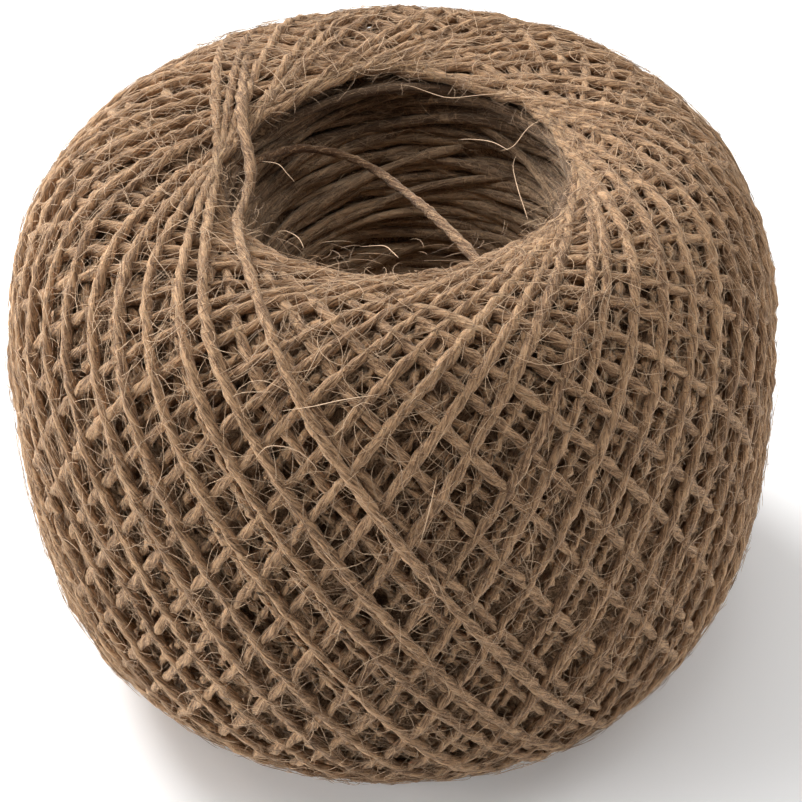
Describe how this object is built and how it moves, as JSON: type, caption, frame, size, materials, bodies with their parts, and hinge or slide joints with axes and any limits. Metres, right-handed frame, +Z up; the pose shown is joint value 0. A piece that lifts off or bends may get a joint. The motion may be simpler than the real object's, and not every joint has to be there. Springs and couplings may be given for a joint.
{
  "type": "ball of twine",
  "caption": "Spindle-wound ball of two-ply jute twine with slanting turns, a hollow right through it and one slack inner turn across the hollow.",
  "frame": {"origin": "on the surface that the ball stands on, under the middle of its outer form", "axes": "+Z up along the spindle's direction; -Y towards the side where the last turn ends its slant; +X to the right of it"},
  "size_m": [0.1, 0.1, 0.0728],
  "materials": {
    "jute_twine": "dry natural jute fibre, matt with a faint sheen along the fibres"
  },
  "bodies": {
    "root": {"wound_ball": "jute_twine", "slack_strand": "jute_twine"}
  },
  "joints": []
}
